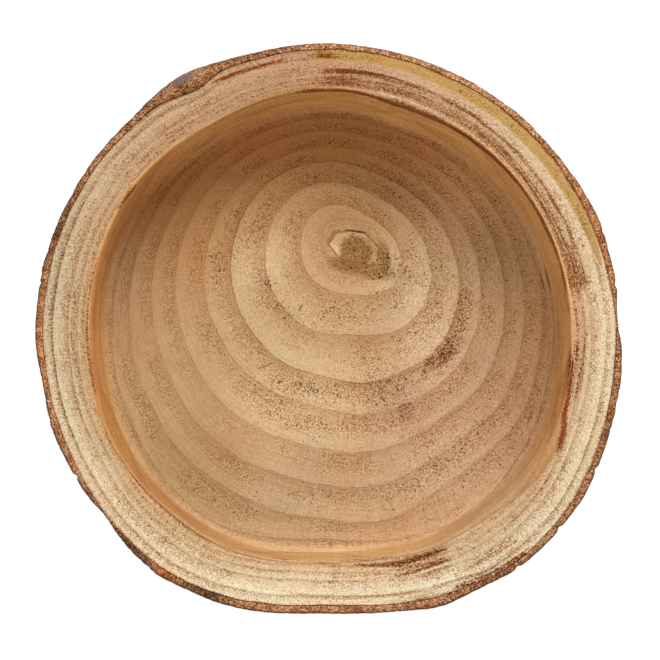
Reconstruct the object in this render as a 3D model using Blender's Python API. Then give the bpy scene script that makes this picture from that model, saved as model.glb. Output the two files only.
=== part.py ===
"""A round slice of a fast-grown log, bark on, hollowed from above into a shallow tray.

It grew as one piece and was carved from one piece, so it is one closed solid. The solid is lofted
from rings: up the bark side, across the sawn rim, over the eased lip and down the hollow's wall.
"""

import math

import bmesh
import bpy
import numpy as np

# Driving dimensions, in metres and degrees. +Z is up, and the slice rests on z = 0.
THICKNESS = 0.055  # from the sawn foot to the sawn rim
FLOOR_THICKNESS = 0.017  # wood left under the hollow
STEM_RADIUS = 0.1459  # mean radius of the wood, without its bark
STEM_LOBES = (  # the stem's swellings: how many round it, height, angle of one crest
    (1, 0.0029, 287),
    (2, 0.0018, 160),
    (3, 0.0017, 90),
    (4, 0.0015, 50),
    (5, 0.0012, 21),
    (6, 0.0005, 4),
    (7, 0.0003, 39),
)
BARK_THICKNESS = 0.0037
BARK_SWELLINGS = (  # where the bark is thicker or worn thin: angle, half width, height
    (2, 5, -0.0021),
    (20, 7, 0.0014),
    (74, 16, -0.0008),
    (120, 5, 0.0026),
    (182, 7, 0.0008),
    (202, 6, 0.0006),
    (220, 4, -0.0017),
    (254, 9, 0.0011),
    (290, 7, 0.0014),
)
HOLLOW_CENTRE = (0.0015, 0.0008)
HOLLOW_RADII = (  # the wall's top, every 30 degrees from +X
    0.1224, 0.1214, 0.1206, 0.1214, 0.1216, 0.1242,
    0.1246, 0.1270, 0.1256, 0.1218, 0.1252, 0.1266,
)
LIP_WIDTH = 0.0014  # the eased edge between the rim and the wall
LIP_SWELLING = (326, 17, 0.0042)  # a wide worn shoulder on the lip: angle, half width, height
WALL_DRAFT = 0.0016  # how far the wall leans in on its way down
FOOT_FILLET = 0.0045  # where the wall runs into the floor
BOTTOM_CHAMFER = 0.0015
RIM_EDGE_BREAK = 0.0009  # the bark's worn upper edge

SEGMENTS = 180
SIDE_STEPS = 3
ROUND_STEPS = 4

BARK_COLOUR = (0.24, 0.11, 0.055, 1.0)
BARK_ROUGHNESS = 0.9
WOOD_COLOUR = (0.60, 0.37, 0.20, 1.0)
WOOD_ROUGHNESS = 0.6


def clear_scene():
    for old in list(bpy.data.objects):
        bpy.data.objects.remove(old)


def swelling(angles, centre, half_width, height):
    """A bell of this height, whose value falls to 1/e at half_width degrees from its centre."""
    gap = (np.degrees(angles) - centre + 180) % 360 - 180
    return height * np.exp(-((gap / half_width) ** 2))


def stem_radii(angles):
    """The wood's outline: the mean radius plus a cosine wave for each kind of lobe."""
    radii = np.full_like(angles, STEM_RADIUS)
    for count, height, crest in STEM_LOBES:
        radii += height * np.cos(count * (angles - math.radians(crest)))
    return radii


def bark_depths(angles):
    depths = np.full_like(angles, BARK_THICKNESS)
    for centre, half_width, height in BARK_SWELLINGS:
        depths += swelling(angles, centre, half_width, height)
    return depths


def wall_radii(angles):
    """The hollow's outline: each radius fades into its neighbours along a raised cosine."""
    count = len(HOLLOW_RADII)
    steps = angles * count / math.tau
    radii = np.zeros_like(angles)
    for index, radius in enumerate(HOLLOW_RADII):
        gap = (steps - index + count / 2) % count - count / 2
        radii += radius * np.where(np.abs(gap) < 1, 0.5 + 0.5 * np.cos(math.pi * gap), 0)
    return radii


def ring(radii, angles, centre, height):
    """Points at these radii about a centre, all at one height."""
    x = centre[0] + radii * np.cos(angles)
    y = centre[1] + radii * np.sin(angles)
    return np.stack([x, y, np.full_like(x, height)], axis=1)


def outer_rings(angles):
    """The foot, the bark side, the rim's outer edge and the line where the bark meets the wood."""
    stem = stem_radii(angles)
    bark = stem + bark_depths(angles)
    outline = ring(bark, angles, (0, 0), 0)[:, :2]
    # The stem's centre is set off, so that the middle of the whole outline is at the origin.
    centre = -(outline.min(axis=0) + outline.max(axis=0)) / 2
    rings = [ring(bark - BOTTOM_CHAMFER, angles, centre, 0)]
    side_top = THICKNESS - RIM_EDGE_BREAK
    for height in np.linspace(BOTTOM_CHAMFER, side_top, SIDE_STEPS + 1):
        rings.append(ring(bark, angles, centre, height))
    rings.append(ring(bark - RIM_EDGE_BREAK, angles, centre, THICKNESS))
    rings.append(ring(stem, angles, centre, THICKNESS))
    return rings


def hollow_rings(angles):
    """The rim's inner edge, the eased lip, the wall and the fillet at its foot."""
    wall = wall_radii(angles)
    lip = LIP_WIDTH + swelling(angles, *LIP_SWELLING)
    rings = []
    for turn in np.linspace(0, math.pi / 2, ROUND_STEPS + 1):
        spread = lip * (1 - math.sin(turn))
        drop = LIP_WIDTH * (1 - math.cos(turn))
        rings.append(ring(wall + spread, angles, HOLLOW_CENTRE, THICKNESS - drop))
    for turn in np.linspace(0, math.pi / 2, ROUND_STEPS + 1):
        inward = WALL_DRAFT + FOOT_FILLET * (1 - math.cos(turn))
        height = FLOOR_THICKNESS + FOOT_FILLET * (1 - math.sin(turn))
        rings.append(ring(wall - inward, angles, HOLLOW_CENTRE, height))
    return rings


def loft(rings, bark_strip_count):
    """A closed mesh: a strip of quads between each two rings, and a cap at both ends."""
    bm = bmesh.new()
    loops = [[bm.verts.new(point) for point in points] for points in rings]
    for strip, (below, above) in enumerate(zip(loops, loops[1:])):
        for i in range(SEGMENTS):
            face = bm.faces.new((below[i - 1], below[i], above[i], above[i - 1]))
            face.material_index = int(strip < bark_strip_count)
    bmesh.ops.contextual_create(bm, geom=loops[0])
    bmesh.ops.contextual_create(bm, geom=loops[-1])
    bmesh.ops.recalc_face_normals(bm, faces=bm.faces)
    mesh = bpy.data.meshes.new("wood_slice")
    bm.to_mesh(mesh)
    bm.free()
    return mesh


def plain_material(name, colour, roughness):
    material = bpy.data.materials.new(name)
    material.use_nodes = True
    shader = material.node_tree.nodes["Principled BSDF"]
    shader.inputs["Base Color"].default_value = colour
    shader.inputs["Roughness"].default_value = roughness
    shader.inputs["Metallic"].default_value = 0.0
    return material


def make_wood_slice():
    angles = np.arange(SEGMENTS) * math.tau / SEGMENTS
    outside = outer_rings(angles)
    mesh = loft(outside + hollow_rings(angles), len(outside) - 1)
    mesh.materials.append(plain_material("sawn_wood", WOOD_COLOUR, WOOD_ROUGHNESS))
    mesh.materials.append(plain_material("bark", BARK_COLOUR, BARK_ROUGHNESS))
    mesh.shade_smooth()
    mesh.set_sharp_from_angle(angle=math.radians(40))
    wood_slice = bpy.data.objects.new("wood_slice", mesh)
    bpy.context.scene.collection.objects.link(wood_slice)
    return wood_slice


clear_scene()
make_wood_slice()
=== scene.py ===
import math
from functools import partialmethod

import bpy
import numpy as np
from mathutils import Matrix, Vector


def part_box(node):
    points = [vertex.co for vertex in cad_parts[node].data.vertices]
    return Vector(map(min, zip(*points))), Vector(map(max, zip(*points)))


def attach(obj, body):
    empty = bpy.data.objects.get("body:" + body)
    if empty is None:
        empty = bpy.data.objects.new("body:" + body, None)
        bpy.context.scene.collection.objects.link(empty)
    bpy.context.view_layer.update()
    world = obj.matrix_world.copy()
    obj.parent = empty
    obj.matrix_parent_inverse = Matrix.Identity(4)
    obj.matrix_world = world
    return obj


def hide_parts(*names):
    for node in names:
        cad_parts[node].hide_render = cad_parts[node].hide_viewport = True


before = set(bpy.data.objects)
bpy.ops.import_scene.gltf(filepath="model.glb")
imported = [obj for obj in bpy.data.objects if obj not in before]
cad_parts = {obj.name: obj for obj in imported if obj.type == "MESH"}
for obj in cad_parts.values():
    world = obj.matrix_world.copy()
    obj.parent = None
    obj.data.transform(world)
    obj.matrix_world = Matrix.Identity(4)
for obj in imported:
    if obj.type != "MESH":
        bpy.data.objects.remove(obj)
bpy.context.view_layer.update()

# ---- The sawn wood -----------------------------------------------------------------------------
# One slice of a fast-grown log: pale, coarse-pored timber, sawn flat on both faces, then hollowed
# from above with a cutter. Rim and floor are sanded and the wall is polished. It is one closed
# surface, from the pith under the foot, over the rim, down to the pith on the hollow's floor.

RIM_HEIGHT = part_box("wood_slice")[1].z
FLOOR_HEIGHT = 0.017
STEM_RADIUS = 0.1459
STEM_LOBES = (  # the stem's swellings: how many round it, height, angle of one crest
    (1, 0.0029, 287), (2, 0.0018, 160), (3, 0.0017, 90), (4, 0.0015, 50), (5, 0.0012, 21),
    (6, 0.0005, 4), (7, 0.0003, 39),
)
STEM_FLATS = (  # where the stem is a little flatter than its waves make it: angle, half width, depth
    (242, 24, 0.0011), (269, 7, 0.0009), (297, 5, 0.0010), (312, 8, 0.0004), (344, 12, 0.0006),
    (40, 22, -0.0007),
)
BARK_THICKNESS = 0.0037
BARK_SWELLINGS = (  # where the bark is thicker or worn thin: angle, half width, height
    (2, 5, -0.0021), (20, 7, 0.0014), (15, 4, -0.0004), (40, 22, -0.0007), (58, 24, 0.0009),
    (74, 16, -0.0008), (120, 9.5, 0.0039), (168, 4, 0.0005), (182, 7, 0.0008), (188, 5, -0.0006),
    (192, 3.5, -0.0008), (202, 6, 0.0006), (212, 5, -0.0005), (220, 4, -0.0023), (236, 3, 0.0010),
    (254, 9, 0.0011), (270, 9, 0.0007), (291, 7, 0.0019), (344, 12, 0.0005), (327, 4, 0.0007),
    (30, 4, 0.0004), (225, 3, -0.0006), (302, 4, -0.0006),
)
INGROWN_BARK = (119.5, 4.2, 0.0036)  # where bark has grown into the wood: angle, half width, depth
HOLLOW_CENTRE = np.array((0.0015, 0.0008))
HOLLOW_RADII = (  # the wall's top, every 30 degrees from +X
    0.1222, 0.1209, 0.1196, 0.1214, 0.1212, 0.1237,
    0.1231, 0.1258, 0.1243, 0.1198, 0.1234, 0.1257,
)
LIP_WIDTH = 0.0014
LIP_SWELLINGS = (  # worn shoulders on the lip: angle, half width, height
    (326, 14, 0.0042), (146, 3.0, 0.0010),
)
WALL_DENTS = (  # where the cutter left the hollow a little smaller: angle, half width, depth
    (72, 9, 0.0021), (118, 12, 0.0012), (282, 8, 0.0008), (192, 8, 0.0006),
)
WALL_DRAFT = 0.0016
FOOT_FILLET = 0.0045
PITH = np.array((0.0154, 0.0430))
PITH_PIT = 0.0006  # how far the pith has sunk
YEAR_DIP = 0.00010  # how much lower the early wood is worn
SAW_WAVES = ((0.0022, 0.00006, 31), (0.011, 0.00010, 32))  # the sawn faces: length, height, seed
RIM_VESSELS = 0.34  # how crowded the open vessels are, from 0 to 1
LEFT_VESSELS = 0.17  # and on the floor, where they grow more crowded to the right
RIGHT_VESSELS = 0.34
WOOD_COLUMNS = 600


def paint(red, green, blue):
    """A colour from a paint chart, 0 to 255 each, as the light a shader works in."""
    return ((np.array((red, green, blue)) / 255 + 0.055) / 1.055) ** 2.4


def swelling(angles, centre, half_width, height=1.0):
    """A bell of this height, whose value falls to 1/e at half_width degrees from its centre."""
    gap = (np.degrees(angles) - centre + 180) % 360 - 180
    return height * np.exp(-((gap / half_width) ** 2))


def ease(values, low, high):
    """0 up to low and 1 from high, with a level start and end: 3 t squared less 2 t cubed."""
    share = np.clip((values - low) / (high - low), 0, 1)
    return share * share * (3 - 2 * share)


def value_noise(across, along, seed, columns=97, rows=89):
    """Smooth noise from -1 to 1: random heights at the corners of a grid that repeats after so
    many columns and rows, each cell blended from corner to corner along a raised cosine."""
    heights = np.random.default_rng(seed).uniform(-1, 1, (rows, columns))
    column = np.floor(across).astype(int)
    row = np.floor(along).astype(int)
    right = 0.5 - 0.5 * np.cos(math.pi * (across - column))
    up = 0.5 - 0.5 * np.cos(math.pi * (along - row))
    near, far = column % columns, (column + 1) % columns
    low = heights[row % rows, near] * (1 - right) + heights[row % rows, far] * right
    high = heights[(row + 1) % rows, near] * (1 - right) + heights[(row + 1) % rows, far] * right
    return low * (1 - up) + high * up


def stem_radii(angles):
    """The wood's outline: the mean radius plus a cosine wave for each kind of lobe."""
    radii = np.full_like(angles, STEM_RADIUS)
    for count, height, crest in STEM_LOBES:
        radii += height * np.cos(count * (angles - math.radians(crest)))
    for flat in STEM_FLATS:
        radii -= swelling(angles, *flat)
    return radii


def bark_radii(angles):
    """The bark's outline: the wood's, its thickness, and a bell for each thick or worn place."""
    radii = stem_radii(angles) + BARK_THICKNESS
    for centre, half_width, height in BARK_SWELLINGS:
        radii += swelling(angles, centre, half_width, height)
    return radii


def cambium_radii(angles):
    """The line where wood meets bark: the stem, drawn in where bark has grown into it, and
    waving by a third of a millimetre."""
    wave = value_noise(angles * 90 / math.tau, angles * 0, 5, columns=90) * 0.0003
    return stem_radii(angles) - swelling(angles, *INGROWN_BARK) + wave


def wall_radii(angles):
    """The hollow's outline: each radius fades into its neighbours along a raised cosine."""
    count = len(HOLLOW_RADII)
    steps = angles * count / math.tau
    radii = np.zeros_like(angles)
    for index, radius in enumerate(HOLLOW_RADII):
        gap = (steps - index + count / 2) % count - count / 2
        radii += radius * np.where(np.abs(gap) < 1, 0.5 + 0.5 * np.cos(math.pi * gap), 0)
    for dent in WALL_DENTS:
        radii -= swelling(angles, *dent)
    return radii


def all_round(count):
    """Angles at this many even steps round."""
    return np.arange(count) * math.tau / count


def ring(radii, angles, centre, height):
    """Points at these radii about a centre, all at one height."""
    x = centre[0] + radii * np.cos(angles)
    y = centre[1] + radii * np.sin(angles)
    return np.stack([x, y, np.full_like(x, height)], axis=-1)


def between(first, last, shares):
    """Rings on the straight way from one ring of points, or one point, to another."""
    return [first + (last - first) * share for share in shares]


round_stem = all_round(3600)
outline = ring(bark_radii(round_stem), round_stem, (0, 0), 0)[:, :2]
# The stem's centre is set off, so that the middle of the bark's outline is a hair from the origin.
STEM_CENTRE = np.array((0.0002, 0.0005)) - (outline.min(axis=0) + outline.max(axis=0)) / 2


def wood_rings(angles):
    """Rows of points and the name of each row's zone: the underside from the pith outwards, the
    hidden side, the rim inwards, the quarter-round lip, the wall, the fillet at its foot, and the
    floor inwards to the pith."""
    cambium = cambium_radii(angles)
    wall = wall_radii(angles)
    lip = LIP_WIDTH + sum(swelling(angles, *shoulder) for shoulder in LIP_SWELLINGS)
    under_pith = np.array((*PITH, 0.0))
    floor_pith = np.array((*PITH, FLOOR_HEIGHT))
    foot = ring(cambium, angles, STEM_CENTRE, 0)
    crown = ring(cambium, angles, STEM_CENTRE, RIM_HEIGHT)
    lip_edge = ring(wall + lip, angles, HOLLOW_CENTRE, RIM_HEIGHT)
    zones = {"underside": between(under_pith, foot, np.linspace(0.03, 1, 10))}
    zones["side"] = between(foot, crown, (0.3, 0.7))
    zones["rim"] = between(crown, lip_edge, np.linspace(0, 1, 46)[:-1])
    zones["lip"] = []
    for turn in np.linspace(0, math.pi / 2, 6):
        spread = lip * (1 - math.sin(turn))
        height = RIM_HEIGHT - LIP_WIDTH * (1 - math.cos(turn))
        zones["lip"].append(ring(wall + spread, angles, HOLLOW_CENTRE, height))
    fillet = []
    for turn in np.linspace(0, math.pi / 2, 7):
        inward = WALL_DRAFT + FOOT_FILLET * (1 - math.cos(turn))
        height = FLOOR_HEIGHT + FOOT_FILLET * (1 - math.sin(turn))
        fillet.append(ring(wall - inward, angles, HOLLOW_CENTRE, height))
    zones["wall"] = between(zones["lip"][-1], fillet[0], np.linspace(0, 1, 7)[1:-1])
    zones["fillet"] = fillet
    zones["floor"] = between(fillet[-1], floor_pith, np.linspace(0, 1, 80)[1:-1])
    rows = np.array([row for zone in zones.values() for row in zone])
    names = np.array([name for name, zone in zones.items() for row in zone])
    return rows, names


# How the tree grew. Growth runs from 0 at the pith to 1 under the bark, and each year of wood
# starts at one of these. The rings lie off centre, pressed towards the upper left.
YEAR_STARTS = (
    0, 0.087, 0.182, 0.303, 0.417, 0.503, 0.60, 0.679,
    0.750, 0.800, 0.838, 0.862, 0.886, 0.914, 0.967, 1.0,
)
YEAR_CLARITY = (
    0.0, 0.15, 0.9, 0.85, 1.0, 0.7, 0.75, 0.7,
    0.65, 0.55, 0.45, 0.4, 0.5, 0.6, 1.0, 0.5,
)
OUTER_GROWTH = 0.150  # near the bark, growth falls by 1 over this depth below it
RING_WAVES = (  # where rings bulge outwards: direction, half width, how far, where it sets in
    (-90, 15, 0.028, 0.32), (-63, 13, -0.022, 0.52), (115, 45, 0.014, 0.15),
)


def polar(points, centre):
    """Direction from a centre and distance from it, in plan."""
    offset = points[..., :2] - centre
    return np.arctan2(offset[..., 1], offset[..., 0]), np.hypot(offset[..., 0], offset[..., 1])


stem_line = ring(stem_radii(round_stem), round_stem, STEM_CENTRE, 0)
REACH_DIRECTIONS, REACH_DISTANCES = polar(stem_line, PITH)


def reach(directions):
    """How far the bark is from the pith in each direction."""
    return np.interp(directions, REACH_DIRECTIONS, REACH_DISTANCES, period=math.tau)


def grown(points):
    """Growth at each point. Inside, it is the share of the way from pith to bark, less a press to
    the upper left and a pull downwards; near the bark it follows the depth below the bark."""
    direction, distance = polar(points, PITH)
    share = distance / reach(direction)
    press = 0.06 * swelling(direction, 130, 42) - 0.058 * swelling(direction, 262, 52)
    inner = share - 1.05 * press * np.interp(share, (0, 0.14, 0.45, 0.6, 0.8), (0, 1, 1, 0.7, 0))
    for middle, half_width, bulge, start in RING_WAVES:
        amount = ease(share, start - 0.08, start + 0.08) * (1 - ease(share, 0.75, 0.92))
        inner = inner - swelling(direction, middle, half_width, bulge) * amount
    round_angle, radius = polar(points, STEM_CENTRE)
    outer = 1 - (stem_radii(round_angle) - radius) / OUTER_GROWTH
    outer = outer + swelling(round_angle, 119.5, 5.5, 0.022) * ease(outer, 0.86, 0.97)
    bark_side = ease(share, 0.72, 0.88)
    x, y = points[..., 0], points[..., 1]
    wander = 0.0032 * value_noise(x / 0.021, y / 0.021, 11)
    wander += 0.0006 * value_noise(x / 0.009, y / 0.009, 12)
    return inner * (1 - bark_side) + outer * bark_side + wander * ease(share, 0.02, 0.2)


# Places on the floor with open, dark vessels: x, y, half width along the ring and across it, all
# in millimetres, then turn in degrees, how many, how red.
OPEN_VESSELS = (
    (-33.5, 27, 13, 4.5, 112, 1.15, 0.0), (-24, 10, 12, 5, 130, 0.75, 0.0),
    (6, 7, 20, 6, 4, 0.95, 0.0), (-20, -47, 18, 8, 160, 1.05, 0.1), (12, -48, 20, 6, 8, 0.7, 0.1),
    (60, -14, 14, 5.5, 42, 1.1, 0.9), (40.3, -40.4, 6, 12, 10, 0.9, 0.6),
    (70, 5, 16, 6, 70, 0.6, 0.5), (-46, -20, 26, 10, 125, 0.65, 0.1),
    (-60, 35, 18, 8, 80, 0.75, 0.5), (15, -25, 40, 8, 8, 0.5, 0.0), (56, 26, 9, 30, 0, 0.55, 0.1),
    (-42, 52, 18, 7, 55, 0.8, 0.2), (0, 80, 40, 7, 0, 0.5, 0.2), (55, -75, 20, 9, 35, 0.6, 0.1),
    (80, -50, 20, 7, 50, 0.5, 0.3), (-30, -90, 30, 10, 170, 0.4, 0.0),
    (35, 32, 10, 9, 0, 0.60, 0.0), (30, 18, 12, 7, 20, 0.50, 0.0), (-7, -33, 26, 6, 172, 0.9, 0.1),
    (27, -33, 6, 12, 10, 0.9, 0.2),
)


def bell(points, x, y, along, across, turn):
    """A bell-shaped patch in plan, in millimetres: 1 at its centre, 1/e at its two half widths."""
    cosine, sine = math.cos(math.radians(turn)), math.sin(math.radians(turn))
    dx, dy = points[..., 0] * 1000 - x, points[..., 1] * 1000 - y
    far_along = (dx * cosine + dy * sine) / along
    far_across = (dy * cosine - dx * sine) / across
    return np.exp(-(far_along**2) - far_across**2)


# Stains along the rim: how strong, then the band they fill, from one end to the other: angle,
# inner and outer radius in millimetres, taken from the middle of the slice.
RIM_STAINS = {
    "brown": (
        (0.72, (87.5, 138.3, 142), (93.5, 138.8, 141.6)),
        (0.58, (8, 131.8, 135), (30, 131, 133.4), (50, 130.8, 133)),
        (0.68, (48, 130.6, 133), (70, 130.6, 133.2), (92, 130.4, 133.4)),
        (1.1, (73, 132.1, 133.4), (80, 131.6, 133.5), (89, 130.8, 133.5)),
        (0.6, (7, 124.8, 131), (30, 125, 129.2), (54, 124.6, 129.2)),
        (0.51, (46, 124.7, 129.2), (80, 124.4, 129.2), (94, 124.2, 129)),
        (0.8, (44, 127, 127.7), (62, 126.2, 127), (88, 125.2, 126.4)),
        (0.64, (82, 124.6, 130), (92, 124.2, 129.6)),
        (0.64, (8, 125.4, 134.5), (19, 125.6, 133)),
        (0.86, (284, 130.6, 131.8), (290, 130.6, 133), (298, 131.6, 134)),
        (0.8, (270, 127, 127.6), (285, 128, 128.7), (298, 129, 130.1)),
        (0.82, (276, 120.8, 122.2), (286, 123.2, 127), (298, 125.4, 129)),
        (0.72, (295.5, 145, 150.5), (297, 145.5, 153), (303, 149.2, 154.5), (312, 151.2, 155.5)),
        (0.48, (296, 144.5, 145.2), (322, 147.6, 148.2)),
        (0.32, (18, 128.5, 131.5), (50, 128.4, 131.2), (88, 128.4, 131.2)),
        (0.5, (339, 126.2, 128), (346, 124.2, 126.4), (356, 123.2, 125.4)),
        (0.3, (343, 126.2, 133.5), (6, 125, 131.5)),
        (0.36, (170, 129.6, 132.6), (190, 129, 132)),
        (1, (8, 122.6, 124), (22, 122.4, 123.8), (50, 120.8, 122.8), (65, 119.2, 121.8),
            (78, 119.2, 121.8), (85, 121.2, 123), (97, 121.4, 123)),
        (0.66, (163, 122.6, 124), (196, 122.4, 124.2)),
        (0.8, (143, 122, 123.6), (150, 122.8, 124.8)),
        (0.46, (203, 124.6, 126), (255, 123.8, 125.2)),
    ),
    "olive": (
        (1, (12, 143, 144.5), (17, 140.8, 145), (27, 138.8, 145.2), (42, 137.8, 144.6),
            (60, 137, 143.4), (94, 138, 143.4)),
        (0.7, (259, 135, 136.8), (270, 135.4, 138.1), (280, 137.6, 140.2), (290, 140.2, 142.8)),
        (0.55, (280, 142, 144), (287, 142.5, 147.5), (294, 143, 150)),
    ),
    "red": (
        (0.78, (99, 138, 140.2), (115, 138.2, 140.2)),
        (0.75, (123.5, 138.1, 139.8), (126.5, 138.6, 140.2)),
        (0.4, (126, 138.6, 139.4), (142, 139, 139.6)),
        (0.95, (331, 132.6, 134.6), (336, 129.8, 133), (341, 127.6, 129.6)),
        (0.94, (338, 127.8, 130.2), (346, 125.8, 128.2), (353, 124.6, 126.6)),
        (0.56, (295.5, 145, 150.5), (297, 145.5, 153), (303, 149.2, 154.5), (312, 151.2, 155.5)),
        (0.62, (256, 120.6, 121.6), (264, 119, 120.2), (277, 119, 120.2), (286, 120.8, 122.2)),
        (0.46, (343, 128, 133), (358, 125.5, 132.5)),
        (0.45, (270, 128.3, 129.6), (287, 130, 131)),
        (0.44, (290, 133.5, 137.5), (299, 134, 137.5)),
        (0.42, (283, 124, 127.2), (298, 125.2, 134)),
        (0.36, (312, 134.5, 137), (328, 135, 137)),
        (0.34, (296, 140, 150), (312, 140, 150)),
        (0.24, (118, 123.5, 132), (138, 124, 132.5)),
    ),
    "pale": (
        (0.55, (10, 135.2, 136.2), (30, 134.2, 135.6), (60, 133.4, 134.6), (92, 133.6, 134.5)),
        (0.5, (20, 129.8, 130.8), (50, 129.6, 130.6), (70, 129.6, 130.4)),
        (0.8, (20, 124, 124.8), (50, 123.4, 124.3), (80, 122.8, 124.1)),
        (0.7, (346, 140, 147.5), (10, 139.5, 146.5)),
        (0.6, (186, 142.2, 146.2), (215, 144, 147.5), (262, 141, 144.5)),
        (0.7, (262, 138.5, 142), (275, 139.5, 143), (294, 143, 149)),
        (0.6, (264, 129.5, 136), (284, 132, 138.5)),
    ),
}


def stain(angles, radii, path):
    """1 inside a band along the rim, fading over two millimetres across its sides and five degrees
    at its ends. Its inner and outer radii run straight from one corner to the next."""
    corner_angles, inner, outer = np.transpose(path)
    corners = (corner_angles - corner_angles[0]) % 360
    gone = (np.degrees(angles) - corner_angles[0] + 90) % 360 - 90
    low, high = (np.interp(gone, corners, edge) / 1000 for edge in (inner, outer))
    ends = ease(gone, -2.5, 2.5) * (1 - ease(gone, corners[-1] - 2.5, corners[-1] + 2.5))
    sides = ease(radii, low - 0.001, low + 0.001) * (1 - ease(radii, high - 0.001, high + 0.001))
    return ends * sides


# The colours of the wood, before light falls on it.
RIM_CREAM = paint(227, 204, 169)
RIM_TAN = paint(210, 174, 132)
RIM_PINK = paint(182, 138, 102)
FLOOR_TAN = paint(203, 165, 125)
FLOOR_CREAM = paint(205, 168, 124)
WALL_HONEY = paint(174, 120, 70)
WALL_GOLD_PAINTED_LIGHT = paint(226, 174, 108)  # painted light: paler gold on the side of the wall turned from the key lamp, which lies in shade
WALL_PALE = paint(176, 138, 94)  # and greyer brown on the near side of the wall
WALL_LIT_FROM = 65
WALL_PATCHES = (  # along the wall: angle, half width, how much more of each colour
    (0, 25, (0.26, 0.34, 0.48)), (45, 22, (0.03, 0.06, 0.06)), (182, 30, (0.12, 0.14, 0.10)),
    (228, 22, (-0.20, -0.18, -0.22)), (275, 14, (0.05, 0.12, 0.12)), (318, 18, (-0.15, 0.04, 0.36)),
)
LIP_PAINTED_LIGHT_AND_SHADE = (  # painted highlight and shade along the lip, in the same way
    (232, 42, (0.22, 0.22, 0.22)), (328, 16, (-0.10, -0.22, -0.30)),
    (40, 34, (-0.24, -0.34, -0.42)), (108, 22, (-0.16, -0.20, -0.24)),
)
PITH_CREAM = paint(232, 202, 162)
PITH_PALE = paint(216, 178, 132)
PITH_BROWN = paint(156, 108, 58)
PITH_PINK = paint(196, 150, 108)
BROWN_WASH = (0.58, 0.40, 0.25)
OLIVE_STAIN = paint(182, 140, 72)
RED_WASH = (0.60, 0.34, 0.23)
PALE_STAIN = paint(232, 206, 172)

# Broad stains on the floor, with painted shade and light at the foot of the far wall. The first darkens
# and warms the floor where the wall's shadow falls. The second lightens the far right corner, a painted
# pool of light. The third
# darkens and warms the far left corner: partly a reddish-brown stain and partly painted shade. Each
# gives x, y, half width along and across in millimetres, turn, and what it multiplies by.
FLOOR_STAINS_AND_SHADE = (
    (0, 100, 85, 36, 0, (0.92, 0.66, 0.36)), (78, 82, 40, 22, -45, (1.18, 1.16, 1.05)),
    (-82, 88, 30, 20, 45, (0.88, 0.76, 0.52)), (0, -45, 50, 18, 0, (1.12, 1.18, 1.20)),
    (-40, -45, 30, 25, -45, (1.10, 1.12, 1.12)), (112, 5, 16, 45, 0, (1.26, 1.26, 1.16)),
    (52, 0, 24, 30, 0, (1.16, 1.30, 1.50)), (-80, 62, 45, 40, 0, (0.98, 0.80, 0.60)),
    (-85, -20, 45, 60, 0, (0.90, 0.94, 0.88)), (-75, -85, 40, 30, -45, (0.86, 0.88, 0.84)),
    (0, -95, 60, 30, 0, (1.02, 1.12, 1.18)), (90, -30, 30, 40, 0, (0.93, 0.90, 0.94)),
    (-36, 38, 22, 18, 45, (1.20, 1.36, 1.58)), (0, 82, 30, 14, 0, (1.08, 1.11, 1.22)),
    (68, -68, 40, 34, 45, (1.06, 1.09, 1.18)), (38, 37, 18, 16, 0, (1.12, 1.20, 1.28)),
    (38, -38, 20, 18, 0, (0.86, 0.82, 0.88)), (-56, -56, 22, 18, -45, (0.90, 0.82, 0.76)),
    (0, -78, 30, 12, 0, (0.96, 0.90, 0.88)), (70, 68, 20, 12, -45, (1.16, 1.14, 1.16)),
    (-20, -8, 18, 18, 0, (1.03, 1.08, 1.14)), (0, -10, 140, 110, 0, (1.035, 1.040, 1.050)),
    (78, -76, 34, 30, 45, (1.04, 1.06, 1.08)), (-70, 70, 20, 14, 45, (1.05, 1.11, 1.12)),
    (56, 56, 18, 14, -45, (1.07, 1.03, 1.05)), (0, -27, 16, 10, 0, (1.08, 1.16, 1.25)),
    (0, -53, 26, 10, 0, (1.07, 1.11, 1.15)), (27, 0, 12, 12, 0, (0.92, 0.86, 0.86)),
    (-38, -38, 16, 14, 0, (1.06, 1.07, 1.12)),
)


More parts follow.
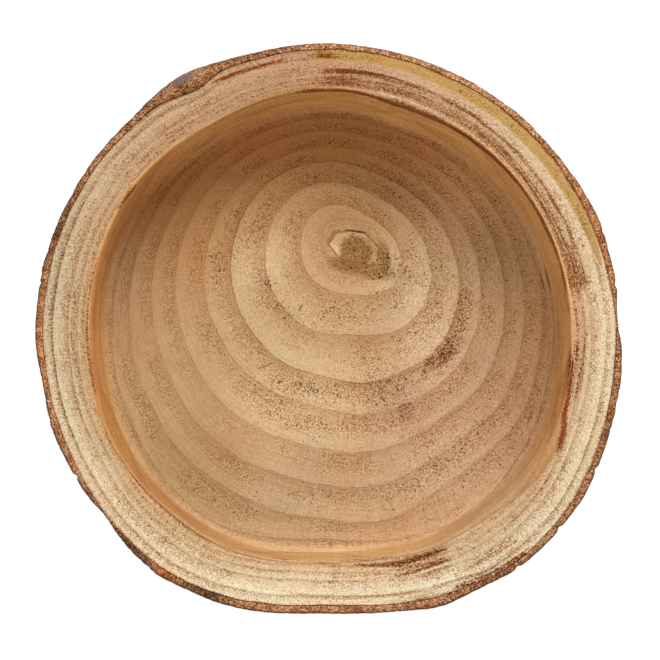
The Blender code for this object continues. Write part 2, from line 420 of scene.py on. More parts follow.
def wood_tints(points, names, growth):
    """The wood's colour: cream sapwood outside, tan heartwood inside, honey where polished, with
    painted shade and light on the floor by the far wall, on the wall and on the lip.
    """
    angle = polar(points, (0, 0))[0]

    def towards(middle, half_width, more=1.0):
        """A bell round this side of the slice, times how much more of each colour."""
        return swelling(angle, middle, half_width)[..., None] * more

    outer = ease(growth, 0.86, 0.955)[..., None]
    tint = RIM_TAN * (1 - outer) + RIM_CREAM * outer
    shaded_side = towards(98, 60, 0.84)
    tint = tint * (1 - shaded_side) + RIM_PINK * shaded_side
    tint = tint * (1 + towards(262, 50, 0.14) - towards(168, 26, 0.12) * outer)
    tint = tint * (1 + towards(285, 42, (0.02, 0.07, 0.16))) * (1 + towards(270, 24, 0.09))
    young = (1 - ease(growth, 0.25, 0.62))[..., None]
    floor = FLOOR_TAN * (1 - young) + FLOOR_CREAM * young
    # Floor stains, with painted shade and light along the foot of the far wall.
    for *patch, factor in FLOOR_STAINS_AND_SHADE:
        floor = floor * (1 + (np.array(factor) - 1) * bell(points, *patch)[..., None])
    tint = np.where((names == "floor")[:, None, None], floor, tint)
    # Painted light: the wall turns paler gold on its side turned from the key lamp, which lies in
    # shade.
    lit_side = (0.5 + 0.5 * np.cos(angle - math.radians(WALL_LIT_FROM)))[..., None]
    wall = WALL_HONEY * (1 - lit_side) + WALL_GOLD_PAINTED_LIGHT * lit_side
    near_side = towards(275, 38)
    wall = wall * (1 - near_side) + WALL_PALE * near_side
    for patch in WALL_PATCHES:
        wall = wall * (1 + towards(*patch))
    fillet = names == "fillet"
    down = np.linspace(0, 1, fillet.sum())[:, None, None]
    tint[fillet] = wall[fillet] * (1 - down) + floor[fillet] * down
    tint = np.where(np.isin(names, ("wall", "lip"))[:, None, None], wall, tint)
    # Painted highlight on the lip at the lower left; painted shade dims the lip elsewhere.
    painted_lip_light = sum(towards(*painted_lip_patch) for painted_lip_patch in LIP_PAINTED_LIGHT_AND_SHADE)
    return tint * (1 + (names == "lip")[:, None, None] * painted_lip_light)


def closed_mesh(name, grid, poles=()):
    """A mesh over a grid of points, rows by columns. Columns join up round the stem. With two poles
    the first and last rows each close on a point; with none, the rows join up as well."""
    rows, columns = grid.shape[:2]
    number = np.arange(rows * columns).reshape(rows, columns)
    beside = np.roll(number, -1, axis=1)
    if len(poles):
        low, low_beside, high, high_beside = number[:-1], beside[:-1], number[1:], beside[1:]
    else:
        low, low_beside = number, beside
        high, high_beside = np.roll(number, -1, axis=0), np.roll(beside, -1, axis=0)
    quads = np.stack([low, low_beside, high_beside, high], axis=-1).reshape(-1, 4)
    points = np.concatenate([grid.reshape(-1, 3), np.reshape(poles, (-1, 3))])
    faces = quads.tolist()
    if len(poles):
        first, last = rows * columns, rows * columns + 1
        faces += np.stack([np.full(columns, first), beside[0], number[0]], axis=-1).tolist()
        faces += np.stack([number[-1], beside[-1], np.full(columns, last)], axis=-1).tolist()
    mesh = bpy.data.meshes.new(name)
    mesh.from_pydata(points.tolist(), [], faces)
    mesh.shade_smooth()
    return mesh


def keep(mesh, name, values, kind="FLOAT"):
    """Stores a value, a vector or a colour at each point of a mesh, under this name."""
    field = {"FLOAT": "value", "FLOAT_VECTOR": "vector", "FLOAT_COLOR": "color"}[kind]
    attribute = mesh.attributes.new(name, kind, "POINT")
    attribute.data.foreach_set(field, np.ascontiguousarray(values, np.float32).ravel())


def whole_numbers(things, name):
    """The value of this name on each of these."""
    values = np.empty(len(things), np.int32)
    things.foreach_get(name, values)
    return values


def lay_out(mesh, places):
    """Sets each corner's place on the texture map."""
    layer = mesh.uv_layers.new(name="OFBake")
    layer.data.foreach_set("uv", places.astype(np.float32).ravel())


def stand(name, data):
    """Sets an object in the scene that shows this mesh, light or camera."""
    thing = bpy.data.objects.new(name, data)
    bpy.context.scene.collection.objects.link(thing)
    return thing


class Finish:
    """A material being made. Most calls add a node and hand back what it gives out; coat and wash
    change the colour so far."""

    def __init__(self, name):
        self.material = bpy.data.materials.new(name)
        self.material.use_nodes = True
        self.nodes = self.material.node_tree.nodes
        self.shader = self.nodes["Principled BSDF"]
        self.place = self.nodes.new("ShaderNodeTexCoord").outputs["Object"]
        self.colour = (1.0, 1.0, 1.0)

    def put(self, socket, value):
        """Links a result into a socket, or sets a plain number, vector or colour on it."""
        if isinstance(value, bpy.types.NodeSocket):
            self.material.node_tree.links.new(value, socket)
        elif socket.type == "RGBA":
            socket.default_value = (*value, 1.0)
        else:
            socket.default_value = value

    def add(self, kind, given, output=0, **settings):
        """Adds a node with these settings, and hands back one of its outputs. The values given go
        to its inputs, by name or number."""
        node = self.nodes.new("ShaderNode" + kind)
        for name, value in settings.items():
            setattr(node, name, value)
        for name, value in given.items():
            self.put(node.inputs[name], value)
        return node.outputs[output]

    def read(self, name, output="Fac"):
        return self.add("Attribute", {}, output, attribute_name=name)

    def sum(self, operation, first, second=0.0, third=0.0):
        """The result of one arithmetic operation."""
        return self.add("Math", {0: first, 1: second, 2: third}, operation=operation)

    def times(self, first, *others):
        """All of these multiplied together."""
        for other in others:
            first = self.sum("MULTIPLY", first, other)
        return first

    plus = partialmethod(sum, "ADD")
    less = partialmethod(sum, "SUBTRACT")
    larger = partialmethod(sum, "MAXIMUM")
    scaled = partialmethod(sum, "MULTIPLY_ADD")  # a value times a factor, plus an offset

    def fade(self, value, low, high, at_low=0.0, at_high=1.0):
        """Carries a value from one range to another with a level start and end."""
        given = {"Value": value, "From Min": low, "From Max": high, "To Min": at_low, "To Max": at_high}
        return self.add("MapRange", given, "Result", interpolation_type="SMOOTHSTEP")

    def grain(self, place, scale, detail=2.0, roughness=0.5):
        """Noise about 0.5, with features 1/scale long."""
        given = {"Vector": place, "Scale": scale, "Detail": detail, "Roughness": roughness}
        return self.add("TexNoise", given)

    def streaks(self, place, scales, detail=2.0, roughness=0.5):
        """The same noise with a scale for each axis."""
        stretched = self.add("VectorMath", {0: place, 1: scales}, operation="MULTIPLY")
        return self.grain(stretched, 1.0, detail, roughness)

    def mix(self, share, first, second, how="MIX"):
        """Blends two colours, which a Mix node takes at 6 and 7 and hands back at 2."""
        given = {0: share, 6: first, 7: second}
        return self.add("Mix", given, 2, data_type="RGBA", blend_type=how)

    def coat(self, share, shade, most=None, how="MIX"):
        """Lays a shade over the colour so far, by this share, or by this share times most."""
        if most is not None:
            share = self.times(share, most)
        self.colour = self.mix(share, self.colour, shade, how)

    def wash(self, share, shade, most=None):
        """Multiplies the colour so far by a shade, by a share as in coat."""
        self.coat(share, shade, most, "MULTIPLY")

    def give(self, values):
        """Sets the shader's own inputs."""
        for name, value in values.items():
            self.put(self.shader.inputs[name], value)

    def bump(self, height, distance, strength):
        given = {"Height": height, "Distance": distance, "Strength": strength}
        self.give({"Normal": self.add("Bump", given)})


CRACKS_AND_KNOTS = (  # short shakes in the floor and pin knots in the rim: x, y, half sizes, turn
    (-0.0146, 0.0124, 0.0027, 0.0004, 61), (-0.0332, -0.0186, 0.0056, 0.0003, 21),
    (0.1165, 0.0275, 0.0075, 0.0005, 104), (0.1135, 0.0265, 0.0060, 0.0004, 106),
    (0.0681, 0.1216, 0.0006, 0.0009, 10), (0.0799, 0.1047, 0.0006, 0.0010, 60),
    (0.1308, 0.0419, 0.0009, 0.0006, 20),
)
PITH_SIDES = (  # the way each side of the pith faces, over its distance from the middle
    (-1.01, 0.27, 0), (-0.21, 1.07, 0), (0.81, 0.81, 0),
    (1.10, 0.00, 0), (-0.13, -1.57, 0), (-1.05, -0.72, 0),
)
PITH_LINES = ((0.0160, 0.0215, 0.0150, -22), (0.0146, 0.0178, 0.0127, -16))  # x, half sizes, turn


def pith_finish(finish):
    """Paints the pith over the wood: two thin brown lines round it, crumbly brown wood below and
    beside it, a pale six-sided horseshoe with a brown edge, a brown spongy heart, and a shake
    along its upper edge; then the cracks and knots. It hands back how spongy each place is."""
    times, larger = finish.times, finish.larger
    loose = finish.scaled(finish.grain(finish.place, 420.0, 3.0, 0.6), 0.7, -0.35)
    broad = finish.scaled(finish.grain(finish.place, 115.0, 1.0), 0.24, -0.12)

    def inside(x, y, half_x, half_y, turn, rough, low, high, sides=False):
        """1 inside an oval on the floor and 0 outside it, its edge made ragged by the noise. With
        sides it has the pith's six sides: the distance is the greatest of those along PITH_SIDES."""
        given = {
            "Vector": finish.place,
            "Location": (x, y, FLOOR_HEIGHT),
            "Rotation": (0.0, 0.0, math.radians(turn)),
            "Scale": (half_x, half_y, 1.0),
        }
        offset = finish.add("Mapping", given, vector_type="TEXTURE")
        far = finish.add("VectorMath", {0: offset}, "Value", operation="LENGTH")
        if sides:
            far = times(far, 0.96)
            for facing in PITH_SIDES:
                given = {0: offset, 1: facing}
                far = larger(far, finish.add("VectorMath", given, "Value", operation="DOT_PRODUCT"))
        far = finish.scaled(loose, rough, finish.plus(far, broad))
        return finish.fade(far, low, high, 1.0, 0.0)

    for x, half_x, half_y, turn in PITH_LINES:
        outer_edge = inside(x, 0.0440, half_x, half_y, turn, 0.06, 1.0, 1.03)
        inner_edge = inside(x, 0.0440, half_x, half_y, turn, 0.06, 0.93, 1.0)
        finish.wash(finish.less(outer_edge, inner_edge), (0.70, 0.56, 0.44), 0.34)
    below = inside(0.0225, 0.0325, 0.0130, 0.0045, -10, 1.1, 0.60, 1.40)
    below = larger(below, inside(0.0105, 0.0350, 0.0110, 0.0042, -12, 1.1, 0.60, 1.40))
    beside = inside(0.0292, 0.0395, 0.0036, 0.0085, 16, 1.2, 0.60, 1.40)
    crumbly = larger(below, beside)
    finish.coat(crumbly, paint(148, 104, 50), 0.66)
    halo = inside(0.0132, 0.0441, 0.0150, 0.0105, -10, 0.35, 0.92, 1.06, True)
    finish.wash(halo, (0.58, 0.42, 0.28), 0.80)
    pale = inside(0.0138, 0.0436, 0.0136, 0.0092, -10, 0.08, 0.98, 1.02, True)
    finish.coat(pale, PITH_PALE, 0.85)
    pink = inside(0.0240, 0.0425, 0.0034, 0.0088, 12, 0.15, 0.85, 1.1)
    finish.coat(times(pink, pale), PITH_PINK, 0.8)
    limb = inside(0.0038, 0.0424, 0.0056, 0.0024, -51, 0.15, 0.80, 1.15)
    finish.coat(times(limb, pale), PITH_CREAM, 0.8)
    core = inside(0.0144, 0.0412, 0.0090, 0.0102, -10, 1.1, 0.75, 1.10)
    finish.coat(core, PITH_BROWN, 0.80)
    shake = inside(0.0146, 0.0530, 0.0062, 0.0005, -8, 0.8, 0.7, 1.3)
    finish.coat(shake, paint(92, 52, 20), 0.85)
    for mark in CRACKS_AND_KNOTS:
        finish.coat(inside(*mark, 0.7, 0.6, 1.2), paint(92, 54, 28), 0.8)
    return larger(core, crumbly)


def sawn_wood_finish():
    """Tan wood with yearly rings: each year starts with a sharp step from pale to brown wood,
    goes on through a band of open vessels, and ends in smooth pale latewood. Stains run along
    the rim, and the wall is polished."""
    finish = Finish("sawn_wood")
    times, scaled, less, larger = finish.times, finish.scaled, finish.less, finish.larger
    fade, grain, streaks, wash = finish.fade, finish.grain, finish.streaks, finish.wash
    place = finish.place
    spokes = finish.read("spokes", "Vector")
    polish = finish.read("polish")
    clarity = finish.read("clarity")
    rim = finish.read("rim")
    width = finish.read("year_width")
    bare = scaled(polish, -1.0, 1.0)
    wander = scaled(grain(place, 420.0, 2.0), 0.06, -0.03)
    years = finish.plus(finish.read("years"), wander)
    phase = finish.sum("FRACT", years)
    after = times(phase, width)
    before = less(width, after)
    line = larger(fade(after, 0.0, 1.3, 1.0, 0.0), fade(before, 0.0, 0.25, 1.0, 0.0))
    faint = fade(streaks(spokes, (11.0, 11.0, 9.0)), 0.35, 0.6, 0.2, 1.0)
    line = times(line, faint, clarity, fade(rim, 0.0, 1.0, 1.0, 0.25))

    # Broad colour: browner early wood, paler latewood, faint patches, rays across the rings,
    # threads along them, and the line where each year starts.
    finish.colour = finish.read("tint", "Color")
    wash(times(fade(phase, 0.0, 0.55, 1.0, 0.0), clarity), (0.80, 0.71, 0.62))
    wash(times(fade(phase, 0.45, 0.85), clarity), (1.06, 1.13, 1.16))
    wash(fade(grain(place, 26.0, 3.0), 0.4, 0.7), (1.02, 0.95, 0.92))
    wash(fade(streaks(spokes, (110.0, 110.0, 9.0)), 0.38, 0.62), (0.94, 0.93, 0.91))
    threads = streaks(spokes, (9.0, 9.0, 230.0), 3.0, 0.6)
    wash(fade(threads, 0.40, 0.60), (0.92, 0.88, 0.84))
    wash(line, (0.70, 0.58, 0.47))

    # The polished wall: long level streaks, lighter and darker, partly grain and partly painted sheen;
    # and no pores.
    level = streaks(place, (9.0, 9.0, 170.0), 3.0, 0.65)
    wash(polish, finish.mix(fade(level, 0.36, 0.64), (1.15, 1.18, 1.21), (0.84, 0.77, 0.69)), 0.9)

    # Stains along the rim: noise pulled out along the rings eats into their edges.
    smear = streaks(spokes, (7.0, 7.0, 250.0), 3.0, 0.65)
    ragged = scaled(smear, 1.15, scaled(grain(place, 950.0, 2.0, 0.7), 1.15, -1.15))
    brown, olive, red = finish.add("SeparateColor", {0: finish.read("stains", "Color")}).node.outputs
    pale = finish.read("stains", "Alpha")
    for mask, shade, most in ((pale, PALE_STAIN, 0.80), (olive, OLIVE_STAIN, 0.85)):
        reached = finish.plus(ragged, mask)
        finish.coat(times(fade(reached, 0.28, 0.95), fade(mask, 0.05, 0.3)), shade, most)
    for mask, shade in ((red, RED_WASH), (brown, BROWN_WASH)):
        reached = scaled(ragged, 1.5, mask)
        for low, high in ((0.25, 0.66), (0.56, 0.95)):
            wash(times(fade(reached, low, high), fade(mask, 0.05, 0.3)), shade)
    spongy = pith_finish(finish)

    # Stipple: crisp in early wood, finer on the rim, almost none in latewood.
    fuzz = grain(place, 1250.0, 2.0, 0.7)
    fuzzy = fade(fuzz, 0.38, 0.62)
    islands = fade(grain(place, 45.0, 4.0, 0.65), 0.42, 0.58)
    early = times(fade(phase, 0.03, 0.14), fade(phase, 0.48, 0.78, 1.0, 0.0))
    stippled = times(early, scaled(islands, 0.75, 0.12))
    stippled = finish.plus(stippled, times(finish.read("vessels"), 0.6))
    stippled = times(stippled, fade(years, 0.8, 2.6, 0.45, 1.0))
    on_rim = times(rim, fade(islands, 0.0, 1.0, 0.08, 0.42))
    stippled = larger(stippled, larger(on_rim, spongy))
    stippled = times(finish.sum("MINIMUM", finish.plus(stippled, 0.05), 1.0), bare)
    wash(stippled, finish.mix(fuzzy, (1.14, 1.16, 1.16), (0.65, 0.56, 0.45)))
    crisp = finish.mix(fuzzy, (1.17, 1.19, 1.21), (0.83, 0.81, 0.79))
    wash(scaled(polish, 0.5, 0.40), crisp)

    # Beads: the rim's rings are rows of dark dots.
    beads = streaks(spokes, (170.0, 170.0, 190.0), 2.0, 0.6)
    clusters = fade(grain(place, 300.0, 2.0, 0.6), 0.36, 0.54, 0.25, 1.0)
    belt = larger(fade(after, 0.8, 3.1, 1.0, 0.0), fade(before, 0.0, 0.7, 1.0, 0.0))
    row = times(belt, times(clarity, rim))
    dotted = fade(scaled(row, 0.14, beads), 0.56, 0.63)
    wash(times(row, clusters, dotted), (0.34, 0.30, 0.20), 0.95)

    # Vessels: dark specks of two sizes.
    crowd = scaled(fade(grain(place, 150.0, 3.0, 0.6), 0.35, 0.65), 0.38, 0.70)
    many = finish.plus(scaled(stippled, 0.24, finish.read("vessels")), times(spongy, 0.24))
    many = times(many, crowd, bare)
    small = less(grain(place, 1100.0, 2.0, 0.6), scaled(many, -0.19, 0.71))
    large = less(grain(place, 620.0, 1.0, 0.5), scaled(many, -0.16, 0.79))
    vessel = times(larger(fade(small, 0.0, 0.05), fade(large, 0.0, 0.05)), bare)
    wash(vessel, (0.32, 0.18, 0.07), 0.92)

    finish.give({
        "Base Color": finish.colour,
        "Roughness": scaled(polish, -0.22, scaled(threads, 0.16, 0.58)),
        "Specular IOR Level": scaled(polish, 0.22, 0.10),
    })
    height = scaled(vessel, -1.0, times(fuzz, times(stippled, -0.6)))
    height = scaled(line, -0.5, height)
    height = scaled(fade(threads, 0.3, 0.7), -0.25, height)
    finish.bump(times(height, bare), 0.00025, 0.6)
    return finish.material


TOP_MIDDLE, TOP_SCALE = (0.405, 0.595), 2.45  # where the discs lie on the map, per metre
UNDER_MIDDLE, UNDER_SCALE = (0.815, 0.185), (-1.16, 1.16)
MAP_WALL, MAP_SIDE = 0.012, 0.002  # how wide the bands of the wall and of the side are laid out


def wood_map(points, names):
    """The texture map: the top as a disc, its wall laid out as a band round the floor, and the
    underside with the hidden side round it as a smaller disc in the corner."""
    flat = points[..., :2]
    outward = flat / np.maximum(np.linalg.norm(flat, axis=-1, keepdims=True), 1e-6)
    laid_out = np.where(np.isin(names, ("rim", "lip")), MAP_WALL, 0.0)
    walls = np.flatnonzero(np.isin(names, ("wall", "fillet")))
    laid_out[walls] = np.linspace(MAP_WALL - 0.0002, 0, len(walls))
    side = np.where(names == "side", MAP_SIDE, 0.0)
    top = np.array(TOP_MIDDLE) + TOP_SCALE * (flat + laid_out[:, None, None] * outward)
    under = np.array(UNDER_MIDDLE) + np.array(UNDER_SCALE) * (flat + side[:, None, None] * outward)
    return top, under


def make_sawn_wood():
    angles = all_round(WOOD_COLUMNS)
    points, names = wood_rings(angles)
    growth = grown(points)
    years = np.interp(growth, YEAR_STARTS, np.arange(len(YEAR_STARTS)))
    year = np.clip(years, 0, len(YEAR_STARTS) - 1.001).astype(int)
    direction = polar(points, PITH)[0]
    year_width = np.diff(YEAR_STARTS)[year] * reach(direction) * 1000
    clarity = np.interp(years, np.arange(len(YEAR_CLARITY)), YEAR_CLARITY)
    clarity *= 0.8 + 0.3 * value_noise(direction * 24 / math.tau, years * 0.8, 21, columns=24)
    clarity *= 1 - 0.6 * swelling(direction, 60, 75) * ease(growth, 0.86, 0.90)
    clarity *= 1 - 0.45 * swelling(direction, 75, 65) * ease(growth, 0.38, 0.52)
    clarity *= 1 + 0.5 * swelling(direction, -15, 18) * ease(growth, 0.80, 0.86)
    # On the left, the middle years are fainter and have few open vessels.
    calm_side = swelling(direction, 200, 42) * ease(growth, 0.42, 0.56) * (1 - ease(growth, 0.72, 0.80))
    clarity *= 1 - 0.35 * calm_side

    angle, radius = polar(points, (0, 0))
    on_rim = (names == "rim")[:, None]
    on_top = np.isin(names, ("rim", "lip"))[:, None]
    on_floor = np.isin(names, ("floor", "fillet"))[:, None]
    polished = np.isin(names, ("wall", "lip"))[:, None] + 0.0 * growth
    polished[names == "fillet"] = np.linspace(1, 0, (names == "fillet").sum())[:, None]

    stains = np.zeros((*growth.shape, 4))
    for channel, bands in enumerate(RIM_STAINS.values()):
        for strength, *path in bands:
            smear = strength * stain(angle, radius, path) * on_top
            stains[..., channel] = np.maximum(stains[..., channel], smear)

    # How crowded the open vessels are; the olive stain hides some, and the red comes with others.
    rightwards = ease(points[..., 0], 0.0, 0.06)
    across_floor = LEFT_VESSELS + (RIGHT_VESSELS - LEFT_VESSELS) * rightwards
    vessels = np.where(on_rim, RIM_VESSELS, across_floor)
    red = np.zeros_like(growth)
    for *place, crowd, redness in OPEN_VESSELS:
        patch = bell(points, *place) * on_floor
        vessels = vessels + 0.50 * crowd * patch
        red += redness * patch
    vessels = vessels * (1 - 0.65 * stains[..., 1].clip(0, 1)) - 0.30 * calm_side * on_floor
    brown = 0.45 * ease(growth, 0.990, 0.999) * on_rim
    stains[..., 0] = np.maximum(stains[..., 0], brown)
    stains[..., 2] = np.maximum(stains[..., 2], 0.45 * red.clip(0, 1))
    tint = wood_tints(points, names, growth)

    # The flat faces: early wood is worn lower, and the saw and the sander leave them uneven.
    x, y = points[..., 0], points[..., 1]
    phase = years % 1
    dip = YEAR_DIP * (1 - ease(phase, 0.0, 0.5)) * clarity
    rough = sum(height * value_noise(x / size, y / size, seed) for size, height, seed in SAW_WAVES)
    pit = PITH_PIT * bell(points, 13.8, 42.5, 8, 7, 0) * on_floor
    flat_top = (on_rim | on_floor) * (1 - polished)
    points[..., 2] += (rough - dip) * flat_top - pit
    under = (names == "underside")[:, None]
    points[..., 2] += np.where(under, np.abs(rough) + 0.00008, 0) * (growth < 0.99)

    # The faces close on two points at the pith, a hair above the foot and at the bottom of the pit.
    poles = (np.array((*PITH, 0.0001)), np.array((*PITH, FLOOR_HEIGHT - 0.0007)))
    mesh = closed_mesh("sawn_wood", points, poles)
    mesh.set_sharp_from_angle(angle=math.radians(40))

    def with_poles(values):
        """The value at every grid point, then at the two poles, which take their nearest row's."""
        flat = values.reshape(-1, *values.shape[2:])
        return np.concatenate([flat, values[0].mean(axis=0)[None], values[-1].mean(axis=0)[None]])

    fields = {
        "years": years,
        "year_width": year_width,
        "clarity": clarity,
        "polish": polished,
        "rim": on_rim + 0.0 * growth,
        "vessels": vessels,
    }
    for name, values in fields.items():
        keep(mesh, name, with_poles(values))
    spokes = np.stack([np.cos(direction), np.sin(direction), growth], axis=-1)
    keep(mesh, "spokes", with_poles(spokes), "FLOAT_VECTOR")
    opaque = np.concatenate([tint, np.ones_like(tint[..., :1])], axis=-1)
    keep(mesh, "tint", with_poles(opaque), "FLOAT_COLOR")
    keep(mesh, "stains", with_poles(stains), "FLOAT_COLOR")

    # Each corner takes its point's place on the map, on the underside's disc or on the top's.
    top, under_map = (with_poles(values) for values in wood_map(points, names))
    corner_point = whole_numbers(mesh.loops, "vertex_index")
    row_of_point = np.append(np.repeat(np.arange(len(names)), WOOD_COLUMNS), (0, len(names)))
    last_under = np.flatnonzero(names == "side")[-1]
    starts = whole_numbers(mesh.polygons, "loop_start")
    sizes = whole_numbers(mesh.polygons, "loop_total")
    corner_face = np.repeat(np.arange(len(sizes)), sizes)
    lowest_row = np.minimum.reduceat(row_of_point[corner_point], starts)
    is_under = (lowest_row <= last_under)[corner_face]
    lay_out(mesh, np.where(is_under[:, None], under_map[corner_point], top[corner_point]))

    mesh.materials.append(sawn_wood_finish())
    return stand("sawn_wood", mesh)


sawn_wood = make_sawn_wood()
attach(sawn_wood, "root")
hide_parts("wood_slice")

# ---- The bark ----------------------------------------------------------------------------------
# A thin, corky bark that grew on the stem and still holds to it. The saw cut it flat at both
# faces, where it is speckled orange and brown; outside, it has shallow upright cracks and plates.

BARK_COLUMNS = 1100
BARK_OVERLAP = 0.0007  # how far its inner side reaches into the wood
EDGE_BREAK = 0.0009
FOOT_CHAMFER = 0.0015
PLATE_HEIGHT = 0.00055
FISSURE_DEPTH = 0.0009
FLAKE_HEIGHT = 0.00028
CORK_HEIGHT = 0.00014
CRACKS = (  # upright cracks through to the edge: angle, half width in degrees, depth
    (8.0, 0.5, 0.0010), (18.3, 0.4, 0.0005), (210.5, 0.4, 0.0012), (308.5, 0.5, 0.0009),
    (319.3, 0.45, 0.0011), (332.0, 0.5, 0.0010), (171.5, 0.35, 0.0006), (284.0, 0.3, 0.0005),
)
BARK_SHADES = (  # along the cut edge: angle, half width, how much darker, how much more orange
    (160, 11, 0.62, 0.0), (228, 6, 0.95, 0.0), (247, 5, 0.65, 0.1), (300, 8, 0.45, 0.1),
    (60, 26, -0.38, 0.0), (312, 8, 0.10, 0.0), (130, 7, 0.5, 0.0), (182, 7, -0.6, 0.5),
    (152, 10, 0.15, 0.0), (342, 10, 0.3, 0.0), (0, 7, 0.35, -0.5), (20, 12, 0.0, 0.45),
    (114, 4, 0.15, 0.3), (126, 4, 0.1, 0.3), (120, 3, 0.45, 0.0), (237, 3, -0.2, 0.7),
    (330, 20, 0.2, 0.1), (104, 8, 0.5, 0.1), (195, 7, -0.2, -0.1), (270, 8, -0.1, 0.3),
    (243, 5, 0.4, 0.0),
)
CUT_BARK = paint(184, 132, 90)
CUT_BARK_DARK = paint(78, 46, 26)
CUT_BARK_ORANGE = paint(186, 112, 66)
CUT_BARK_SEAM = paint(96, 58, 36)  # next to the wood
CUT_BARK_RIND = paint(92, 64, 46)  # along the outer edge
CUT_BARK_GREY = paint(126, 112, 104)  # where the ingrown bark is weathered
OUTER_BARK = paint(132, 108, 86)
OUTER_BARK_CRACK = paint(88, 66, 50)
OUTER_BARK_GREY = paint(146, 134, 120)


def bark_relief(angles, heights):
    """How far the outer bark stands in or out: broad plates, shallow upright cracks where a noise
    stretched along the stem passes through zero, flakes, fine cork, and the few deep cracks. It
    also hands back that noise."""
    turn = angles / math.tau
    tall = heights / RIM_HEIGHT

    def uneven(round_it, up_it, seed, shift=0.0):
        """Noise with so many cells round the stem and up it."""
        return value_noise(turn * round_it + shift, tall * up_it, seed, columns=round_it)

    plates = PLATE_HEIGHT * uneven(44, 2.3, 41)
    weave = uneven(240, 1.1, 43, 0.7 * uneven(60, 2.4, 42))
    patches = ease(uneven(26, 1.7, 44), -0.5, 0.5)
    fissures = -FISSURE_DEPTH * np.exp(-((weave / 0.16) ** 2)) * (0.35 + 0.65 * patches)
    flakes = FLAKE_HEIGHT * np.sign(uneven(120, 7.0, 45))
    calm = 1 - 0.6 * ease(heights, RIM_HEIGHT - 0.012, RIM_HEIGHT - 0.002)
    relief = (plates + fissures + flakes * patches) * calm + CORK_HEIGHT * uneven(520, 38, 46)
    for centre, half_width, depth in CRACKS:
        lean = 0.9 * value_noise(tall * 4.0, tall * 0, 50 + int(centre))
        relief = relief - swelling(angles - np.radians(lean), centre, half_width, depth)
    return relief, weave


def bark_rings(angles):
    """Rows round a closed shell: the sawn top edge outwards, the outer side downwards, the sawn
    foot inwards, and the inner side, which lies just inside the wood."""
    cambium = cambium_radii(angles)
    outside = bark_radii(angles)
    rows, across, skin = [], [], []

    def row(radii, height, share, outer):
        """Adds a row: its share of the way across the cut edge, and how much outer bark shows."""
        relief = bark_relief(angles, np.full_like(angles, height))[0]
        rows.append(ring(radii + relief * outer, angles, STEM_CENTRE, height))
        across.append(share)
        skin.append(outer)

    row(cambium - BARK_OVERLAP, RIM_HEIGHT - 0.0030, 0.0, 0.0)
    row(cambium - 0.0001, RIM_HEIGHT - 0.0007, 0.0, 0.0)
    edge = outside - EDGE_BREAK + bark_relief(angles, np.full_like(angles, RIM_HEIGHT))[0]
    for share in np.linspace(0.04, 1, 10):
        drop = 0.0006 * (1 - ease(share, 0.0, 0.25))
        rows.append(ring(cambium + (edge - cambium) * share, angles, STEM_CENTRE, RIM_HEIGHT - drop))
        across.append(share)
        skin.append(0.0)
    row(outside - 0.3 * EDGE_BREAK, RIM_HEIGHT - 0.3 * EDGE_BREAK, 1.0, 0.9)
    for height in np.linspace(RIM_HEIGHT - EDGE_BREAK, FOOT_CHAMFER, 58):
        row(outside, height, 1.0, 1.0)
    row(outside - FOOT_CHAMFER, 0.0003, 1.0, 0.6)
    for share in (0.7, 0.35, 0.0):
        row(cambium + (outside - FOOT_CHAMFER - cambium) * share, 0.0001, share, 0.0)
    row(cambium - BARK_OVERLAP, 0.0030, 0.0, 0.0)
    return np.array(rows), np.array(across), np.array(skin)


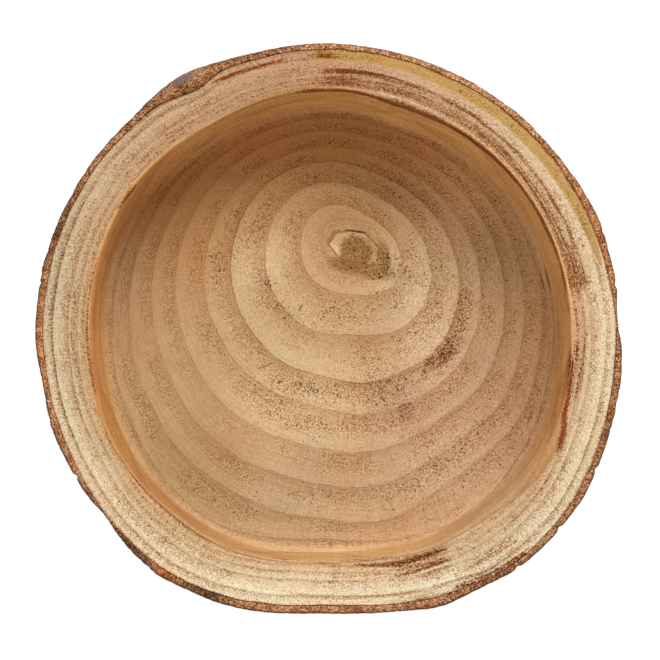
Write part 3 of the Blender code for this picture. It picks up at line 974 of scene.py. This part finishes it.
def bark_finish():
    """Cork: the sawn edge is speckled orange and brown, dark next to the wood; the outside is
    grey-brown, with fine upright streaks and darker brown cracks."""
    finish = Finish("bark")
    scaled, fade, grain = finish.scaled, finish.fade, finish.grain
    coat, wash = finish.coat, finish.wash
    place = finish.place
    dark = finish.read("dark")
    crumbs = grain(place, 1000.0, 2.0, 0.7)

    # The sawn edge.
    layers = grain(place, 300.0, 4.0, 0.7)
    finish.colour = finish.mix(fade(finish.read("orange"), 0.0, 1.0), CUT_BARK, CUT_BARK_ORANGE)
    wash(fade(layers, 0.42, 0.60), (0.52, 0.41, 0.35))
    shadowy = finish.times(dark, fade(layers, 0.2, 0.6, 0.45, 1.0))
    coat(fade(shadowy, 0.0, 1.0, 0.0, 0.9), CUT_BARK_DARK)
    wash(fade(dark, -0.7, 0.0, 1.0, 0.0), (1.10, 1.20, 1.26))
    bright = finish.mix(1.0, finish.colour, (2.0, 2.05, 2.05), "MULTIPLY")
    coat(fade(crumbs, 0.36, 0.50, 1.0, 0.0), bright)
    grit = fade(finish.less(crumbs, scaled(dark, -0.05, 0.562)), 0.0, 0.05)
    wash(grit, (0.26, 0.14, 0.07), 0.95)
    ragged = scaled(crumbs, 0.35, scaled(layers, 0.35, finish.read("across")))
    coat(fade(ragged, 0.38, 0.52, 1.0, 0.0), CUT_BARK_SEAM, 0.7)
    coat(fade(ragged, 1.20, 1.34), CUT_BARK_RIND, 0.55)
    coat(finish.read("grey"), CUT_BARK_GREY, 0.75)
    cut = finish.colour

    # The outer side.
    mottle = grain(place, 38.0, 4.0, 0.6)
    upright = finish.streaks(place, (380.0, 380.0, 70.0), 3.0, 0.6)
    finish.colour = finish.mix(fade(mottle, 0.42, 0.62), OUTER_BARK, OUTER_BARK_GREY)
    wash(fade(upright, 0.44, 0.66), (0.62, 0.54, 0.46))
    cracked = scaled(crumbs, 0.5, scaled(upright, 0.8, finish.read("depth")))
    coat(fade(cracked, 0.85, 1.40), OUTER_BARK_CRACK)
    wash(fade(crumbs, 0.35, 0.65), (0.72, 0.68, 0.64))

    finish.give({
        "Base Color": finish.mix(fade(finish.read("skin"), 0.35, 0.8), cut, finish.colour),
        "Roughness": fade(mottle, 0.3, 0.7, 0.82, 0.96),
        "Specular IOR Level": 0.12,
    })
    finish.bump(scaled(grit, -0.6, crumbs), 0.0004, 0.8)
    return finish.material


def make_bark():
    angles = all_round(BARK_COLUMNS)
    points, across, skin = bark_rings(angles)
    angle = polar(points, STEM_CENTRE)[0]
    weave = bark_relief(angle, points[..., 2])[1]
    mesh = closed_mesh("bark", points[::-1])
    mesh.set_sharp_from_angle(angle=math.radians(55))
    dark = sum(swelling(angle, place, half, darker) for place, half, darker, warmer in BARK_SHADES)
    orange = sum(swelling(angle, place, half, warmer) for place, half, darker, warmer in BARK_SHADES)
    grey = swelling(angle, 120, 3.5) * ease(across[:, None], 0.55, 0.8)
    fields = {
        "dark": dark,
        "orange": orange,
        "grey": grey,
        "depth": np.exp(-((weave / 0.14) ** 2)),
        "across": across[:, None] + 0.0 * angle,
        "skin": skin[:, None] + 0.0 * angle,
    }
    for name, values in fields.items():
        keep(mesh, name, values[::-1])

    # The texture map: the shell unrolled and laid in four strips, one above another.
    rows = len(across)
    quarter = BARK_COLUMNS // 4
    number = np.arange(rows * BARK_COLUMNS).reshape(rows, BARK_COLUMNS)
    steps = np.diff(points[::-1], axis=0, append=points[-1:])
    along = np.minimum(np.linalg.norm(steps, axis=-1).mean(axis=1), 0.003)
    place = np.concatenate([[0], np.cumsum(along)]) / along.sum()
    row, column = np.divmod(number.ravel(), BARK_COLUMNS)
    strip = column // quarter
    left = 0.01 + 0.94 * (column % quarter) / quarter
    right = 0.01 + 0.94 * (column % quarter + 1) / quarter
    low = (strip + 0.03 + 0.94 * place[row]) / 4
    high = (strip + 0.03 + 0.94 * place[row + 1]) / 4
    lay_out(mesh, np.stack([left, low, right, low, right, high, left, high], axis=-1))

    mesh.materials.append(bark_finish())
    return stand("bark", mesh)


bark = make_bark()
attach(bark, "root")
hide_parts("wood_slice")

# ---- The table and the light -------------------------------------------------------------------
# A plain white table that glows faintly, as a light table does, under one large soft lamp on the
# far side of the slice, a much weaker one on the near side, and an even, dim light all round.

TABLE_RADIUS = 6.0
TABLE_SIDES = 96
TABLE_GAP = 0.0003
TABLE_GREY = (0.40, 0.40, 0.40)
TABLE_GLOW = 0.86


def make_table():
    """A flat disc, a hair below the foot."""
    rim = ring(TABLE_RADIUS, all_round(TABLE_SIDES), (0, 0), -TABLE_GAP)
    mesh = bpy.data.meshes.new("table")
    mesh.from_pydata(rim.tolist(), [], [list(range(TABLE_SIDES))])
    finish = Finish("white_table")
    finish.give({"Base Color": TABLE_GREY, "Roughness": 0.8})
    finish.give({"Emission Color": (1.0, 1.0, 1.0), "Emission Strength": TABLE_GLOW})
    mesh.materials.append(finish.material)
    return stand("table", mesh)


def make_lamp(name, place, size, power):
    """A flat lamp of this width and height at a place, turned towards the middle of the rim."""
    light = bpy.data.lights.new(name, "AREA")
    light.shape = "RECTANGLE"
    light.size, light.size_y = size
    light.energy = power
    lamp = stand(name, light)
    lamp.location = place
    aim = Vector((0, 0, RIM_HEIGHT)) - Vector(place)
    lamp.rotation_euler = aim.to_track_quat("-Z", "Y").to_euler()


make_table()
make_lamp("key_lamp", (0.40, 1.49, 0.88), (1.3, 0.85), 46.0)
make_lamp("fill_lamp", (-0.30, -1.90, 0.75), (1.6, 0.6), 8.0)
world = bpy.data.worlds.new("studio")
world.use_nodes = True
world.node_tree.nodes["Background"].inputs["Color"].default_value = (1.0, 1.0, 1.0, 1.0)
world.node_tree.nodes["Background"].inputs["Strength"].default_value = 0.42
bpy.context.scene.world = world
bpy.context.scene.view_settings.view_transform = "Standard"

# ---- The camera --------------------------------------------------------------------------------
# It looks almost straight down, a metre above the rim and a little to the near side.

camera_data = bpy.data.cameras.new("camera")
camera_data.lens = 110
camera_data.sensor_width = 36
camera = stand("camera", camera_data)
camera.location = (0.001, -0.05, RIM_HEIGHT + 1.03)
view_aim = Vector((0.001, -0.0013, RIM_HEIGHT))
camera.rotation_euler = (view_aim - camera.location).to_track_quat("-Z", "Y").to_euler()
bpy.context.scene.camera = camera
